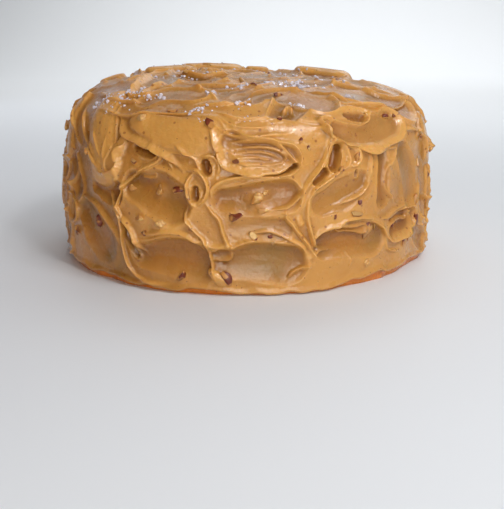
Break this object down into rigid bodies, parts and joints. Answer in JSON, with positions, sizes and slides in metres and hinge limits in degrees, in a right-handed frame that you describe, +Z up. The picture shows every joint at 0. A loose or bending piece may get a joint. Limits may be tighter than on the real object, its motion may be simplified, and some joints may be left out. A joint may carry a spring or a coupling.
{
  "type": "salted caramel layer cake",
  "caption": "Uncut round layer cake covered in roughly swirled caramel frosting, with chopped pecans in the frosting and coarse salt flakes on top.",
  "frame": {"origin": "middle of the flat underside, on the surface the cake stands on", "axes": "+Z up the cake's axis, +X to the right and -Y towards the viewer of the pictured front"},
  "size_m": [0.2391, 0.2394, 0.1148],
  "materials": {
    "caramel_frosting": "soft satin caramel frosting with glossy crests, pecan pieces and salt flakes"
  },
  "bodies": {
    "root": {"frosted_cake": "caramel_frosting"}
  },
  "joints": []
}
